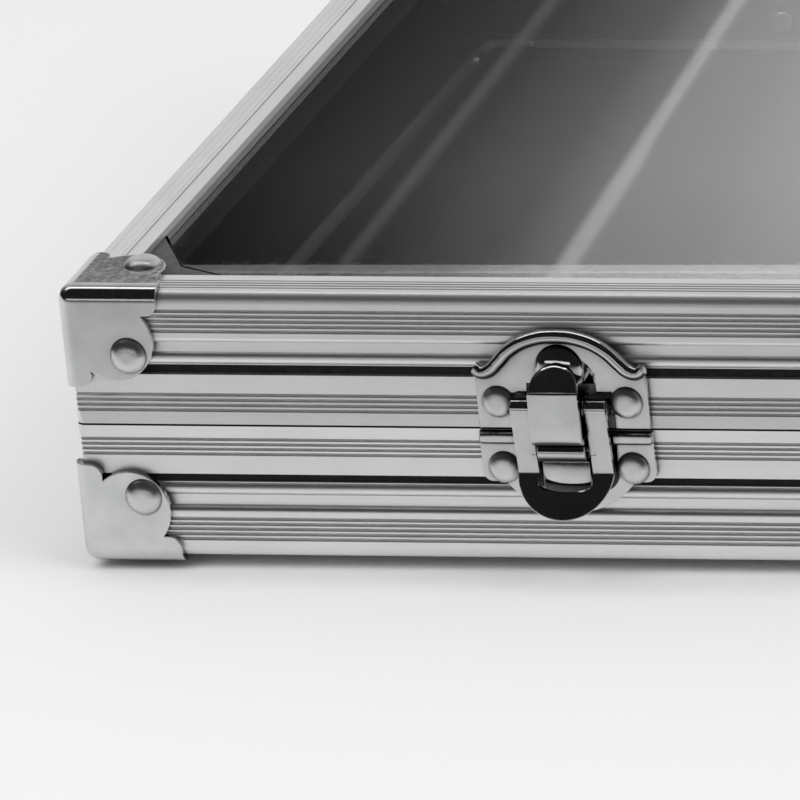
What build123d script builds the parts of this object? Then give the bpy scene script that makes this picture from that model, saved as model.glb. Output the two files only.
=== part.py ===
from build123d import *
from math import cos, radians, sin
import os

# A low display case: two aluminium framed halves, hinged at the back and latched at the front.
# The base has a solid floor and a soft pad, and the lid holds a glass pane.
# Millimetres, +Z up, +X to the right of someone who faces the latches on the -Y side.
# The origin is on the ground, under the middle of the case's bounding box.

# Size of the case
case_length = 350.0
case_depth = 250.0
half_height = 26.5

# Edge extrusion, the outer corner of each half
flange_width = 9.5
flange_thickness = 1.4
edge_round = 2.3
corner_round = 2.0
mitre_margin = 1.0
pane_slot_height = 3.4
ledge_thickness = 1.2
ledge_reach = 16.5
edge_groove_first = 3.8
edge_groove_count = 5
groove_pitch = 1.0
groove_width = 0.5
step_depth = 1.2
step_round = 1.1
edge_band_height = 10.2
recess_height = 1.9
bead_height = 2.7
bead_web = 0.6
flange_groove_first = 2.7
flange_groove_pitch = 1.3
flange_groove_count = 3
flange_step_inset = 6.3
flange_step_width = 0.5
flange_step_depth = 0.25

# Closing extrusion, where the two halves meet
valley_height = 1.8
closing_groove_first = 2.9
closing_groove_count = 4
taper_depth = 0.5
taper_height = 6.1
web_near = 4.0
web_thickness = 1.2
tongue_thickness = 1.2
tongue_height = 2.0

# Walls that both extrusions share
outer_wall = 1.8
inner_lip = 1.2
panel_thickness = 2.0
panel_slip = 0.1

# Flat pieces inside the frames
glass_thickness = 3.0
floor_thickness = 3.2
pane_edge_gap = 0.6
seal_width = 5.5
pad_thickness = 8.0
pad_gap = 1.3
pad_corner = 3.0
pad_edge_round = 2.0
block_leg = 36.0
block_shoulder = 8.6
block_nose = 17.9
block_gap = 0.4
block_slip = 0.1

# Corner caps, pressed from sheet; their sizes run from the frame's own corner
cap_sheet = 1.1
cap_reach = 18.8
cap_outer_round = 3.0
cap_inner_round = 1.5
cap_arm_width = 4.55
cap_arm_round = 2.4
cap_lobe_radius = 7.8
cap_lobe_centre = 9.6
cap_rivet_inset = 12.4

# Rivets
cap_head_radius = 3.65
latch_head_radius = 3.2
hinge_head_radius = 2.6
head_height = 1.5
crown_flat = 1.2
cap_shank_radius = 2.0
plate_shank_radius = 1.5
rivet_fit = 0.05
clinch_extra = 0.6
clinch_height = 0.6

# Draw latches, two of them on the front face
latch_spacing = 156.0
plate_thickness = 1.0
plate_gap = 0.3
keeper_width = 33.6
keeper_shoulder = 12.0
keeper_arch_half = 13.8
keeper_top = 19.5
keeper_rim = 3.0
keeper_rim_height = 1.7
keeper_rim_round = 0.8
keeper_rivet_spacing = 25.2
keeper_rivet_rise = 5.6
notch_width = 19.6
notch_top = 9.2
nose_width = 9.2
nose_root_top = 15.5
nose_seat = 11.4
nose_seat_back = 2.9
nose_front = 5.7
nose_bottom = 9.3
nose_round = 1.2
latch_width = 34.0
latch_drop = 10.2
latch_corner = 2.0
latch_arc_half = 12.7
latch_arc_drop = 16.4
latch_bead = 2.4
latch_bead_height = 1.0
latch_bead_round = 0.8
latch_bead_inner = 6.8
latch_rivet_spacing = 25.3
latch_rivet_drop = 7.4
boss_width = 9.2
boss_top = 5.6
boss_bottom = 11.4
ear_half_gap = 3.9
ear_thickness = 1.1
ear_plate_top = 8.0
lever_pin_proud = 2.6
lever_pin_rise = 5.0
lever_pin_radius = 1.1
knuckle_radius = 2.1
lever_half_width = 9.3
lever_gap_half = 5.3
lever_sheet = 1.0
lever_bend_proud = 3.0
lever_bend_drop = 7.7
lever_gap_drop = 1.9
lever_gap_arc = 1.5
tab_angle = 34.0
cheek_thickness = 1.0
hook_pin_proud = 2.6
hook_pin_drop = 3.0
hook_pin_radius = 0.75
hook_eye_radius = 1.35
hook_half_width = 4.9
hook_sheet = 1.0
hook_proud = 7.1
hook_curl_start = 1.4
hook_top = 12.9
hook_bend_radius = 3.0
hook_tip_proud = 3.4
hook_shoulder = 8.7
pin_fit = 0.05

# Hinges, two of them on the back face
hinge_spacing = 200.0
hinge_width = 30.0
leaf_thickness = 1.0
leaf_height = 14.0
leaf_gap = 0.05
leaf_corner = 2.0
barrel_radius = 2.2
barrel_gap = 0.3
barrel_clear = 0.4
middle_knuckle = 10.0
knuckle_gap = 0.3
hinge_pin_radius = 1.2
hinge_pin_head = 1.8
hinge_pin_head_height = 0.8
hinge_rivet_spacing = 18.0
hinge_rivet_height = 7.4

# Places that follow from the sizes
foot_height = cap_sheet + head_height
seam_z = foot_height + half_height
tab_drop = lever_half_width * cos(radians(tab_angle))
tab_rise = lever_half_width * sin(radians(tab_angle))
front_reach = lever_bend_proud + tab_rise
hinge_proud = barrel_gap + barrel_radius
back_reach = hinge_proud + barrel_radius
front_y = -(case_depth + front_reach + back_reach) / 2 + front_reach
back_y = front_y + case_depth
middle_y = (front_y + back_y) / 2
left_x = -case_length / 2
right_x = case_length / 2
panel_inset = outer_wall + panel_slip
lip_inset = panel_inset + panel_thickness + panel_slip
wall_depth = lip_inset + inner_lip
slot_far = half_height - flange_thickness
ledge_far = slot_far - pane_slot_height
ledge_near = ledge_far - ledge_thickness
step_far = half_height - edge_band_height
bead_far = step_far - recess_height
edge_near = bead_far - bead_height
closing_height = edge_near - valley_height
mitre_reach = ledge_reach + inner_lip
leaf_front = leaf_gap + leaf_thickness
bore_length = 4 * ledge_reach
latch_places = {"left": -latch_spacing / 2, "right": latch_spacing / 2}
hinge_places = {"left": -hinge_spacing / 2, "right": hinge_spacing / 2}
SIDES = ("front", "right", "back", "left")
HALVES = {"base": -1, "lid": 1}


def side_frame(side):
    """A side's start corner, its direction, the inward direction, all at the seam, and its length."""
    if side == "front":
        return Vector(left_x, front_y, seam_z), Vector(1, 0, 0), Vector(0, 1, 0), case_length
    if side == "right":
        return Vector(right_x, front_y, seam_z), Vector(0, 1, 0), Vector(-1, 0, 0), case_depth
    if side == "back":
        return Vector(right_x, back_y, seam_z), Vector(-1, 0, 0), Vector(0, -1, 0), case_length
    return Vector(left_x, back_y, seam_z), Vector(0, -1, 0), Vector(1, 0, 0), case_depth


def section_plane(side):
    """Plane of a side's section: x runs inwards from the outer face, y up from the seam."""
    corner, along, inward, length = side_frame(side)
    return Plane(origin=corner, x_dir=inward, z_dir=along)


def corner_plan(side, level):
    """Level plane at a side's start corner: x runs along the side, y inwards."""
    corner, along, inward, length = side_frame(side)
    return Plane(origin=corner + Vector(0, 0, level - seam_z), x_dir=along, z_dir=(0, 0, 1))


def outer_plane(side, along, rise, proud=0):
    """Plane on a side's outer face, looking outwards, at a place along it from its middle."""
    corner, direction, inward, length = side_frame(side)
    origin = corner + direction * (length / 2 + along) + Vector(0, 0, rise)
    return Plane(origin=origin - inward * proud, x_dir=direction, z_dir=-inward)


def profile_plane(side, along):
    """Upright plane square to a side: x runs outwards from the outer face, y up from the seam."""
    corner, direction, inward, length = side_frame(side)
    origin = corner + direction * (length / 2 + along)
    return Plane(origin=origin, x_dir=-inward, z_dir=-direction)


def bar(inset_from, inset_to, near, far, up, mode=Mode.ADD):
    """One bar of a section, between two insets and two distances from the seam."""
    with Locations(((inset_from + inset_to) / 2, up * (near + far) / 2)):
        Rectangle(inset_to - inset_from, far - near, mode=mode)


def vee_grooves(places):
    """Vee grooves in a section, each a square on its corner."""
    with Locations(*places):
        Rectangle(groove_width, groove_width, rotation=45, mode=Mode.SUBTRACT)


def edge_section(up):
    """Edge extrusion: bead, step, grooved wall, grooved flange, ledge and inner lip."""
    with Locations((outer_wall, up * (edge_near + bead_height / 2))):
        Circle(bead_height / 2)
    bar(outer_wall, 2 * outer_wall, edge_near, bead_far, up, Mode.SUBTRACT)
    bar(outer_wall - bead_web, outer_wall, edge_near, bead_far, up)
    bar(step_depth, outer_wall, bead_far, step_far, up)
    bar(0, outer_wall, step_far, half_height, up)
    bar(0, flange_width, slot_far, half_height, up)
    bar(0, ledge_reach, ledge_near, ledge_far, up)
    bar(lip_inset, wall_depth, edge_near, ledge_near, up)
    rows = [half_height - edge_groove_first - groove_pitch * row for row in range(edge_groove_count)]
    vee_grooves([(0, up * row) for row in rows])
    insets = [flange_groove_first + flange_groove_pitch * row for row in range(flange_groove_count)]
    vee_grooves([(inset, up * half_height) for inset in insets])
    bar(flange_step_inset, flange_step_inset + flange_step_width,
        half_height - flange_step_depth, half_height, up, Mode.SUBTRACT)


def closing_section(up):
    """Closing extrusion: tapered grooved face, inner lip, web and, on the base, the tongue."""
    Polygon((outer_wall, 0), (0, 0), (taper_depth, up * taper_height),
            (taper_depth, up * closing_height), (outer_wall, up * closing_height), align=None)
    bar(lip_inset, wall_depth, 0, closing_height, up)
    bar(outer_wall - web_thickness / 2, wall_depth, web_near, web_near + web_thickness, up)
    if up < 0:
        tongue_inset = (outer_wall + lip_inset - tongue_thickness) / 2
        bar(tongue_inset, tongue_inset + tongue_thickness, -tongue_height, web_near, up)
    rows = [closing_groove_first + groove_pitch * row for row in range(closing_groove_count)]
    vee_grooves([(taper_depth * row / taper_height, up * row) for row in rows])


def panel_section(up):
    """The flat wall strip that both extrusions hold by its edges."""
    bar(panel_inset, panel_inset + panel_thickness, web_near + web_thickness, ledge_near, up)


def mitre(side):
    """Keep a side's own part of the frame, between its two mitres."""
    length = side_frame(side)[3]
    with BuildSketch(corner_plan(side, seam_z)) as plan:
        Polygon((-mitre_margin, -mitre_margin), (length + mitre_margin, -mitre_margin),
                (length - mitre_reach, mitre_reach), (mitre_reach, mitre_reach), align=None)
    extrude(plan.sketch, amount=2 * half_height, both=True, mode=Mode.INTERSECT)


def round_corners(near, far, up):
    """Round the frame's four upright corners, between two distances from the seam."""
    for side in SIDES:
        with BuildSketch(corner_plan(side, seam_z + up * near)) as waste:
            with Locations(((corner_round - mitre_margin) / 2, (corner_round - mitre_margin) / 2)):
                Rectangle(corner_round + mitre_margin, corner_round + mitre_margin)
            with Locations((corner_round, corner_round)):
                Circle(corner_round, mode=Mode.SUBTRACT)
        extrude(waste.sketch, amount=up * (far - near), mode=Mode.SUBTRACT)


def bore(places, radius):
    """Drill straight through at each place, square to the face that it lies on."""
    with Locations(*places):
        Cylinder(radius, bore_length, mode=Mode.SUBTRACT)


def face_rivets(side, up):
    """Places of the cap rivets on a side's outer face."""
    reach = side_frame(side)[3] / 2 - cap_rivet_inset
    rise = up * (half_height - cap_rivet_inset)
    return [outer_plane(side, along, rise) for along in (-reach, reach)]


def level_rivets(up):
    """Places of the cap rivets on the lid's top or on the base's underside."""
    reach_x = case_length / 2 - cap_rivet_inset
    reach_y = case_depth / 2 - cap_rivet_inset
    level = seam_z + up * half_height
    return [Plane(origin=(x, middle_y + y, level), x_dir=(1, 0, 0), z_dir=(0, 0, up))
            for x in (-reach_x, reach_x) for y in (-reach_y, reach_y)]


def latch_rivets(up):
    """Places of one half's latch rivets, on the front face."""
    spacing = keeper_rivet_spacing if up > 0 else latch_rivet_spacing
    rise = keeper_rivet_rise if up > 0 else -latch_rivet_drop
    return [outer_plane("front", place + along, rise)
            for place in latch_places.values() for along in (-spacing / 2, spacing / 2)]


def hinge_rivets(up):
    """Places of one half's hinge rivets, on the back face."""
    spacing = hinge_rivet_spacing
    return [outer_plane("back", place + along, up * hinge_rivet_height)
            for place in hinge_places.values() for along in (-spacing / 2, spacing / 2)]


def bore_walls(side, up):
    """Drill a wall piece for every rivet that passes through it."""
    bore(face_rivets(side, up) + level_rivets(up), cap_shank_radius + rivet_fit)
    if side == "front":
        bore(latch_rivets(up), plate_shank_radius + rivet_fit)
    if side == "back":
        bore(hinge_rivets(up), plate_shank_radius + rivet_fit)


def save(part, name):
    """Label a finished piece and write it to its own file."""
    part.label = name
    export_step(part, f"parts/{name}.step")


def edge_rail(side, up):
    """One length of the edge extrusion, rounded along its outer corner, mitred and drilled."""
    with BuildPart() as rail:
        with BuildSketch(section_plane(side)) as outline:
            edge_section(up)
            fillet(outline.vertices().sort_by_distance((0, up * half_height))[0], edge_round)
            fillet(outline.vertices().sort_by_distance((0, up * step_far))[0], step_round)
        extrude(amount=side_frame(side)[3])
        mitre(side)
        round_corners(edge_near, half_height, up)
        bore_walls(side, up)
    return rail.part


def closing_rail(side, up):
    """One length of the closing extrusion, mitred and drilled."""
    with BuildPart() as rail:
        with BuildSketch(section_plane(side)):
            closing_section(up)
        extrude(amount=side_frame(side)[3])
        mitre(side)
        round_corners(0, closing_height, up)
        bore_walls(side, up)
    return rail.part


def wall_strips(up):
    """The four flat wall strips of one half, mitred and drilled."""
    strips = []
    for side in SIDES:
        with BuildPart() as strip:
            with BuildSketch(section_plane(side)):
                panel_section(up)
            extrude(amount=side_frame(side)[3])
            mitre(side)
            bore_walls(side, up)
        strips.append(strip.part.solid())
    return Compound(children=strips)


def block_outline(gap):
    """Outline of a corner block, from the frame's outer corner, grown by a gap."""
    start = panel_inset - gap
    leg = block_leg + gap
    shoulder = block_shoulder + gap
    nose = block_nose + gap
    Polygon((start, start), (leg, start), (leg, shoulder), (nose, nose), (shoulder, leg),
            (start, leg), align=None)


def corner_blocks(up):
    """The four flat blocks in the slot's corners, where the level cap rivets pass."""
    low = seam_z + ledge_far if up > 0 else seam_z - slot_far
    with BuildPart() as blocks:
        for side in SIDES:
            with BuildSketch(corner_plan(side, low)):
                block_outline(0)
            extrude(amount=pane_slot_height)
        bore(level_rivets(up), cap_shank_radius + rivet_fit)
    return blocks.part


def pane(low, thickness, inset):
    """A flat pane in the slot, clipped at its corners round the corner blocks."""
    with BuildPart() as piece:
        with BuildSketch(Plane.XY.offset(low)):
            with Locations((0, middle_y)):
                Rectangle(case_length - 2 * inset, case_depth - 2 * inset)
        extrude(amount=thickness)
        for side in SIDES:
            with BuildSketch(corner_plan(side, low)):
                block_outline(block_gap)
                Rectangle(2 * inset, 2 * inset)
            extrude(amount=thickness, mode=Mode.SUBTRACT)
    return piece.part


def cap_trim(plane, depth):
    """Cut one face of a cap back to its two arms and its big lobe."""
    arm_end = cap_reach - cap_arm_round
    arm_side = cap_arm_width - cap_arm_round
    with BuildSketch(plane) as waste:
        with Locations((cap_reach / 2, cap_reach / 2)):
            Rectangle(2 * cap_reach, 2 * cap_reach)
        with Locations((cap_lobe_centre, cap_lobe_centre)):
            Circle(cap_lobe_radius, mode=Mode.SUBTRACT)
        with Locations((arm_end, arm_side), (arm_side, arm_end)):
            Circle(cap_arm_round, mode=Mode.SUBTRACT)
        Rectangle(2 * cap_reach, 2 * arm_side, mode=Mode.SUBTRACT)
        Rectangle(2 * arm_side, 2 * cap_reach, mode=Mode.SUBTRACT)
        Rectangle(2 * arm_end, 2 * cap_arm_width, mode=Mode.SUBTRACT)
        Rectangle(2 * cap_arm_width, 2 * arm_end, mode=Mode.SUBTRACT)
        Rectangle(2 * cap_lobe_centre, 2 * cap_lobe_centre, mode=Mode.SUBTRACT)
    extrude(waste.sketch, amount=depth, mode=Mode.SUBTRACT)


def rivet(head_radius, shank_radius, seat, grip):
    """A rivet at the origin: flat-crowned head, shank, and the end that is rolled over inside."""
    clinch_radius = shank_radius + clinch_extra
    top = seat + head_height
    with BuildPart() as piece:
        with BuildSketch(Plane.XZ):
            with BuildLine():
                Line((0, top), (crown_flat, top))
                TangentArc((crown_flat, top), (head_radius, seat), tangent=(1, 0))
                Polyline((head_radius, seat), (shank_radius, seat), (shank_radius, -grip),
                         (clinch_radius, -grip), (clinch_radius, -grip - clinch_height),
                         (0, -grip - clinch_height), (0, top))
            make_face()
        revolve(axis=Axis.Z)
    return piece.part


def keeper_outline(shoulder, arch_half, top, bottom, mode=Mode.ADD):
    """Front outline of the keeper plate: two shoulders with an arch between them."""
    side = keeper_width / 2
    with BuildLine() as outline:
        Polyline((-arch_half, shoulder), (-side, shoulder), (-side, bottom), (side, bottom),
                 (side, shoulder), (arch_half, shoulder))
        ThreePointArc((arch_half, shoulder), (0, top), (-arch_half, shoulder))
    make_face(outline.edges(), mode=mode)


def keeper_plate(place):
    """Lid part of a latch: plate with a raised rim along its arch, a notch, and the nose."""
    arch_rise = keeper_top - keeper_shoulder
    arch_radius = (keeper_arch_half ** 2 + arch_rise ** 2) / (2 * arch_rise)
    arch_centre = keeper_top - arch_radius
    inner_shoulder = keeper_shoulder - keeper_rim
    inner_half = ((arch_radius - keeper_rim) ** 2 - (inner_shoulder - arch_centre) ** 2) ** 0.5
    with BuildPart() as keeper:
        with BuildSketch(outer_plane("front", place, 0)):
            keeper_outline(keeper_shoulder, keeper_arch_half, keeper_top, plate_gap)
            Rectangle(notch_width, 2 * notch_top, mode=Mode.SUBTRACT)
        extrude(amount=plate_thickness)
        with BuildSketch(outer_plane("front", place, 0, plate_thickness)):
            keeper_outline(keeper_shoulder, keeper_arch_half, keeper_top, inner_shoulder)
            keeper_outline(inner_shoulder, inner_half, keeper_top - keeper_rim, 0, Mode.SUBTRACT)
        extrude(amount=keeper_rim_height)
        fillet(keeper.faces().sort_by(Axis.Y)[0].edges(), keeper_rim_round)
        with BuildSketch(profile_plane("front", place)):
            with BuildLine():
                Polyline((0, nose_bottom), (nose_front, nose_bottom),
                         (nose_front, nose_seat - nose_round))
                TangentArc((nose_front, nose_seat - nose_round),
                           (nose_front - nose_round, nose_seat), tangent=(0, 1))
                Polyline((nose_front - nose_round, nose_seat), (nose_seat_back, nose_seat),
                         (plate_thickness, nose_root_top), (0, nose_root_top), (0, nose_bottom))
            make_face()
        extrude(amount=nose_width / 2, both=True)
        bore(latch_rivets(1), plate_shank_radius + rivet_fit)
    return keeper.part


def latch_plate(place):
    """Base part of a latch: plate with two beads, a raised boss and two ears for the lever's pin."""
    ear_edge = ear_half_gap + ear_thickness
    with BuildPart() as plate:
        with BuildSketch(outer_plane("front", place, 0)) as outline:
            with Locations((0, -(plate_gap + latch_drop) / 2)):
                Rectangle(latch_width, latch_drop - plate_gap)
            fillet(outline.vertices().group_by(Axis.Y)[0], latch_corner)
            with BuildLine():
                Line((latch_arc_half, -latch_drop), (-latch_arc_half, -latch_drop))
                ThreePointArc((-latch_arc_half, -latch_drop), (0, -latch_arc_drop),
                              (latch_arc_half, -latch_drop))
            make_face()
            with Locations((0, (ear_plate_top - latch_drop) / 2)):
                Rectangle(2 * ear_edge, ear_plate_top + latch_drop)
        extrude(amount=plate_thickness)
        bead_length = latch_width / 2 - latch_bead_inner
        bead_middle = latch_width / 2 - bead_length / 2
        with BuildSketch(outer_plane("front", place, 0, plate_thickness)):
            with Locations((-bead_middle, -plate_gap - latch_bead / 2), (bead_middle, -plate_gap - latch_bead / 2)):
                RectangleRounded(bead_length, latch_bead, latch_bead / 3)
            with Locations((0, -(boss_top + boss_bottom) / 2)):
                RectangleRounded(boss_width, boss_bottom - boss_top, latch_bead / 3)
        extrude(amount=latch_bead_height)
        fillet(plate.faces().sort_by(Axis.Y)[0:3].edges(), latch_bead_round)
        for hand in (-1, 1):
            with BuildSketch(profile_plane("front", place + hand * (ear_half_gap + ear_thickness / 2))):
                with Locations((lever_pin_proud, lever_pin_rise)):
                    Circle(knuckle_radius)
                with Locations((lever_pin_proud / 2, lever_pin_rise)):
                    Rectangle(lever_pin_proud, 2 * knuckle_radius)
            extrude(amount=ear_thickness / 2, both=True)
        bore(latch_rivets(-1), plate_shank_radius + rivet_fit)
        bore_across(place, (lever_pin_proud, lever_pin_rise), lever_pin_radius + pin_fit, lever_half_width)
    return plate.part


def bore_across(place, centre, radius, reach):
    """Drill along a latch's width, out to a reach on both sides of its middle."""
    with BuildSketch(profile_plane("front", place)) as hole:
        with Locations(centre):
            Circle(radius)
    extrude(hole.sketch, amount=reach, both=True, mode=Mode.SUBTRACT)


def latch_pin(place, centre, radius, reach):
    """A plain pin along a latch's width."""
    with BuildPart() as pin:
        with BuildSketch(profile_plane("front", place)):
            with Locations(centre):
                Circle(radius)
        extrude(amount=reach, both=True)
    return pin.part


def lever(place):
    """The lever: two arms rolled round the pin, a finger tab bent outwards, and two cheeks."""
    pin = (lever_pin_proud, lever_pin_rise)
    hook_pin = (hook_pin_proud, -hook_pin_drop)
    face_top = (lever_pin_proud + knuckle_radius, lever_pin_rise)
    bend = (lever_bend_proud, -lever_bend_drop)
    tip = (lever_bend_proud + tab_rise, -lever_bend_drop - tab_drop)
    slope = (face_top[0] - bend[0]) / (face_top[1] - bend[1])
    face_at_hook_pin = bend[0] + slope * (hook_pin[1] - bend[1])
    with BuildPart() as piece:
        with BuildSketch(profile_plane("front", place)):
            with BuildLine():
                Polyline(face_top, bend, tip)
                offset(amount=lever_sheet, side=Side.RIGHT)
            make_face()
            with Locations(pin):
                Circle(knuckle_radius)
        extrude(amount=lever_half_width, both=True)
        with BuildSketch(outer_plane("front", place, 0)):
            with Locations((0, -lever_bend_drop)):
                Rectangle(4 * lever_half_width, 4 * lever_half_width)
                Ellipse(lever_half_width, tab_drop, mode=Mode.SUBTRACT)
            with Locations((0, lever_half_width - lever_bend_drop)):
                Rectangle(2 * lever_half_width, 2 * lever_half_width, mode=Mode.SUBTRACT)
            with Locations((0, -lever_bend_drop - lever_gap_drop)):
                Ellipse(lever_gap_half, lever_gap_arc)
            with Locations((0, lever_half_width - lever_bend_drop - lever_gap_drop)):
                Rectangle(2 * lever_gap_half, 2 * lever_half_width)
        extrude(amount=2 * front_reach, mode=Mode.SUBTRACT)
        cheek_middle = lever_gap_half + cheek_thickness / 2
        for hand in (-1, 1):
            with BuildSketch(profile_plane("front", place + hand * cheek_middle)):
                with Locations(hook_pin):
                    Circle(hook_eye_radius)
                with Locations((face_at_hook_pin + lever_sheet, hook_pin[1])):
                    Rectangle(2 * lever_sheet, 4 * hook_eye_radius, mode=Mode.SUBTRACT)
            extrude(amount=cheek_thickness / 2, both=True)
        bore_across(place, pin, lever_pin_radius + pin_fit, lever_half_width)
        bore_across(place, hook_pin, hook_pin_radius, lever_gap_half + cheek_thickness)
    return piece.part


def hook(place):
    """The hook: a strip curled round its pin at the bottom and bent over the nose at the top."""
    hook_pin = (hook_pin_proud, -hook_pin_drop)
    curl_radius = hook_pin_drop + hook_eye_radius - hook_curl_start
    curl_end = (hook_proud - curl_radius, -hook_pin_drop - hook_eye_radius)
    bend_start = (hook_proud, hook_top - hook_bend_radius)
    bend_end = (hook_proud - hook_bend_radius, hook_top)
    with BuildPart() as piece:
        with BuildSketch(profile_plane("front", place)):
            with BuildLine():
                Line((hook_pin_proud, curl_end[1]), curl_end)
                TangentArc(curl_end, (hook_proud, -hook_curl_start), tangent=(1, 0))
                Line((hook_proud, -hook_curl_start), bend_start)
                TangentArc(bend_start, bend_end, tangent=(0, 1))
                Line(bend_end, (hook_tip_proud, hook_top))
                offset(amount=hook_sheet, side=Side.LEFT)
            make_face()
            with Locations(hook_pin):
                Circle(hook_eye_radius)
        extrude(amount=hook_half_width, both=True)
        dome = hook_top - hook_shoulder
        with BuildSketch(outer_plane("front", place, 0)):
            with Locations((0, hook_top)):
                Rectangle(4 * hook_half_width, 2 * dome)
            with Locations((0, hook_shoulder)):
                Ellipse(hook_half_width, dome, mode=Mode.SUBTRACT)
        extrude(amount=2 * front_reach, mode=Mode.SUBTRACT)
        bore_across(place, hook_pin, hook_pin_radius + pin_fit, hook_half_width)
    return piece.part


def hinge_leaf(place, up):
    """One leaf of a hinge: a flat plate with its own knuckles of the barrel."""
    plate_low = barrel_radius + barrel_clear
    outer_length = (hinge_width - middle_knuckle) / 2 - knuckle_gap
    outer_middle = (hinge_width - outer_length) / 2
    knuckles = [(0, middle_knuckle)] if up > 0 else [(-outer_middle, outer_length), (outer_middle, outer_length)]
    with BuildPart() as leaf:
        with BuildSketch(outer_plane("back", place, 0, leaf_gap)) as outline:
            with Locations((0, up * (plate_low + leaf_height) / 2)):
                Rectangle(hinge_width, leaf_height - plate_low)
            fillet(outline.vertices().group_by(Axis.Y)[-1 if up > 0 else 0], leaf_corner)
        extrude(amount=leaf_thickness)
        for middle, length in knuckles:
            with BuildSketch(profile_plane("back", place + middle)):
                with Locations((hinge_proud, 0)):
                    Circle(barrel_radius)
                with Locations(((leaf_gap + leaf_front) / 2, up * plate_low / 2)):
                    Rectangle(leaf_thickness, plate_low)
            extrude(amount=length / 2, both=True)
        with BuildSketch(profile_plane("back", place)):
            with Locations((hinge_proud, 0)):
                Circle(hinge_pin_radius + pin_fit)
        extrude(amount=hinge_width, both=True, mode=Mode.SUBTRACT)
        bore(hinge_rivets(up), plate_shank_radius + rivet_fit)
    return leaf.part


def hinge_pin(place):
    """A hinge pin with a small head at each end."""
    with BuildPart() as pin:
        with BuildSketch(profile_plane("back", place)):
            with Locations((hinge_proud, 0)):
                Circle(hinge_pin_radius)
        extrude(amount=hinge_width / 2 + hinge_pin_head_height, both=True)
        for hand in (-1, 1):
            with BuildSketch(profile_plane("back", place + hand * hinge_width / 2)):
                with Locations((hinge_proud, 0)):
                    Circle(hinge_pin_head)
            extrude(amount=-hand * hinge_pin_head_height)
    return pin.part


os.makedirs("parts", exist_ok=True)

# The two frames
for half, up in HALVES.items():
    for side in SIDES:
        save(edge_rail(side, up), f"{half}_edge_rail_{side}")
        save(closing_rail(side, up), f"{half}_closing_rail_{side}")
    save(wall_strips(up), f"{half}_wall_strips")
    save(corner_blocks(up), f"{half}_corner_blocks")

# Floor panel, and the soft pad that lies on the base's ledge
save(pane(seam_z - slot_far, floor_thickness, panel_inset + pane_edge_gap), "floor_panel")

with BuildPart() as display_pad:
    inset = wall_depth + pad_gap
    with BuildSketch(Plane.XY.offset(seam_z - ledge_near)):
        with Locations((0, middle_y)):
            RectangleRounded(case_length - 2 * inset, case_depth - 2 * inset, pad_corner)
    extrude(amount=pad_thickness)
    fillet(display_pad.faces().sort_by(Axis.Z)[-1].edges(), pad_edge_round)
    with BuildSketch(Plane.XY.offset(seam_z - ledge_near)):
        with Locations(*[(place.origin.X, place.origin.Y) for place in level_rivets(-1)]):
            Circle(cap_shank_radius + 2 * clinch_extra)
    extrude(amount=2 * clinch_height, mode=Mode.SUBTRACT)
save(display_pad.part, "display_pad")

# Glass, on four strips of sealing tape
seal_thickness = pane_slot_height - glass_thickness
glass_inset = panel_inset + pane_edge_gap
save(pane(seam_z + ledge_far + seal_thickness, glass_thickness, glass_inset), "glass_pane")

with BuildPart() as glazing_seal:
    add(pane(seam_z + ledge_far, seal_thickness, glass_inset))
    with BuildSketch(Plane.XY.offset(seam_z + ledge_far)):
        with Locations((0, middle_y)):
            open_inset = glass_inset + seal_width
            Rectangle(case_length - 2 * open_inset, case_depth - 2 * open_inset)
    extrude(amount=seal_thickness, mode=Mode.SUBTRACT)
save(glazing_seal.part, "glazing_seal")

# Corner caps: the first is made at the origin, for the base's front left corner
cap_size = cap_reach + cap_sheet
cap_faces = [(Plane.XY, -cap_sheet), (Plane.XZ, cap_sheet), (Plane.YZ, -cap_sheet)]

with BuildPart() as cap_hollow:
    Box(2 * cap_reach, 2 * cap_reach, 2 * cap_reach, align=(Align.MIN, Align.MIN, Align.MIN))
    fillet(cap_hollow.edges().sort_by_distance((0, 0, 0))[0:3], cap_inner_round)

with BuildPart() as first_cap:
    with Locations((-cap_sheet, -cap_sheet, -cap_sheet)):
        Box(cap_size, cap_size, cap_size, align=(Align.MIN, Align.MIN, Align.MIN))
    tip = (-cap_sheet, -cap_sheet, -cap_sheet)
    fillet(first_cap.edges().sort_by_distance(tip)[0:3], cap_outer_round)
    add(cap_hollow.part, mode=Mode.SUBTRACT)
    for plane, depth in cap_faces:
        cap_trim(plane, depth)
        bore([Plane(origin=plane.from_local_coords((cap_rivet_inset, cap_rivet_inset)), z_dir=plane.z_dir)],
             cap_shank_radius + rivet_fit)

# The other caps are its mirror images across the case's three middle planes
middle_plane = Plane(origin=(0, middle_y, 0), z_dir=(0, 1, 0))
front_left_cap = Pos(left_x, front_y, seam_z - half_height) * first_cap.part
base_left_caps = {"front": front_left_cap, "back": mirror(front_left_cap, about=middle_plane)}
for depth_name, left_cap in base_left_caps.items():
    for width_name, base_cap in {"left": left_cap, "right": mirror(left_cap, about=Plane.YZ)}.items():
        save(base_cap, f"base_cap_{depth_name}_{width_name}")
        save(mirror(base_cap, about=Plane.XY.offset(seam_z)), f"lid_cap_{depth_name}_{width_name}")

# Rivets, in groups of alike ones for each half
face_rivet = rivet(cap_head_radius, cap_shank_radius, cap_sheet, wall_depth)
level_rivet = rivet(cap_head_radius, cap_shank_radius, cap_sheet, half_height - ledge_near)
latch_rivet = rivet(latch_head_radius, plate_shank_radius, plate_thickness, wall_depth)
hinge_rivet = rivet(hinge_head_radius, plate_shank_radius, leaf_front, wall_depth)

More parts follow.
